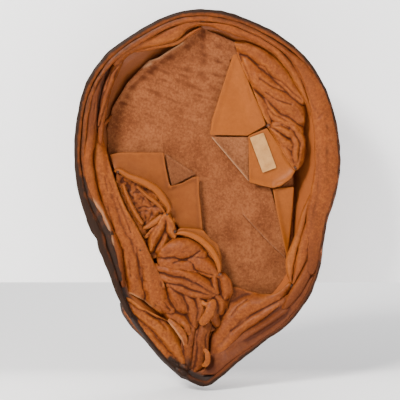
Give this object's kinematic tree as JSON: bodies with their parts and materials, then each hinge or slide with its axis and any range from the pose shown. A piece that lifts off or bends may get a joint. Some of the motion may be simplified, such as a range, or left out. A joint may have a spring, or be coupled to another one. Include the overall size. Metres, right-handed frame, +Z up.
{
  "type": "leather wall mask",
  "caption": "Hollow hooded face mask of wet-formed leather: rolled rim, pleated hood, stitched flaps and suede backing, made to hang on a wall.",
  "frame": {"origin": "under the inner roll of the crown, where the hanging nail bears, in the plane of the rim that rests on the wall", "axes": "+Z up along the mask's height, +Y the way the face looks, away from the wall, +X to the left of a person who looks at the face from the front"},
  "size_m": [0.2643, 0.102, 0.376],
  "materials": {
    "smooth_hide": "wet-formed grain leather, cognac, satin",
    "flap_hide": "smooth grain leather, cognac, satin",
    "suede": "flesh side, pinkish brown suede, matt",
    "rough_corner": "flesh side, grey-brown, matt",
    "crumpled_hide": "crumpled thin leather, satin",
    "stained_hide": "cognac leather with black antique dye, satin",
    "dyed_edge": "near-black dyed cut edge",
    "antique_hide": "antiqued dark brown grain leather, waxed",
    "face_hide": "antiqued brown grain leather, waxed",
    "paper": "aged cream paper, blank",
    "thread": "waxed dark brown thread"
  },
  "bodies": {
    "root": {"top_roll": "smooth_hide", "top_inner_roll": "smooth_hide", "right_band": "smooth_hide", "left_outer_pleat": "smooth_hide", "left_mid_pleat": "smooth_hide", "left_inner_pleat": "smooth_hide", "left_long_fold": "smooth_hide", "right_long_fold_outer": "smooth_hide", "right_long_fold_inner": "smooth_hide", "upper_right_flap": "flap_hide", "label_flap": "flap_hide", "side_strip": "flap_hide", "left_flap": "flap_hide", "lower_left_flap": "flap_hide", "backing_sheet": "suede", "backing_overlap": "suede", "right_corner_fold": "rough_corner", "left_corner_fold": "rough_corner", "left_pocket": "crumpled_hide", "mid_gather": "crumpled_hide", "pillow_gather": "crumpled_hide", "chin_knot": "crumpled_hide", "upper_right_gather": "crumpled_hide", "right_gather_lobes": "crumpled_hide", "knot_strip": "crumpled_hide", "tail_left": "crumpled_hide", "tail_right": "crumpled_hide", "tail_curl": "crumpled_hide", "bottom_drape": "stained_hide", "bottom_turnover": "stained_hide", "rim_hem": "dyed_edge", "tip_knob": "dyed_edge", "hood_hide": "antique_hide", "face_hide": "face_hide", "paper_label": "paper", "thread_ties": "thread"}
  },
  "joints": []
}
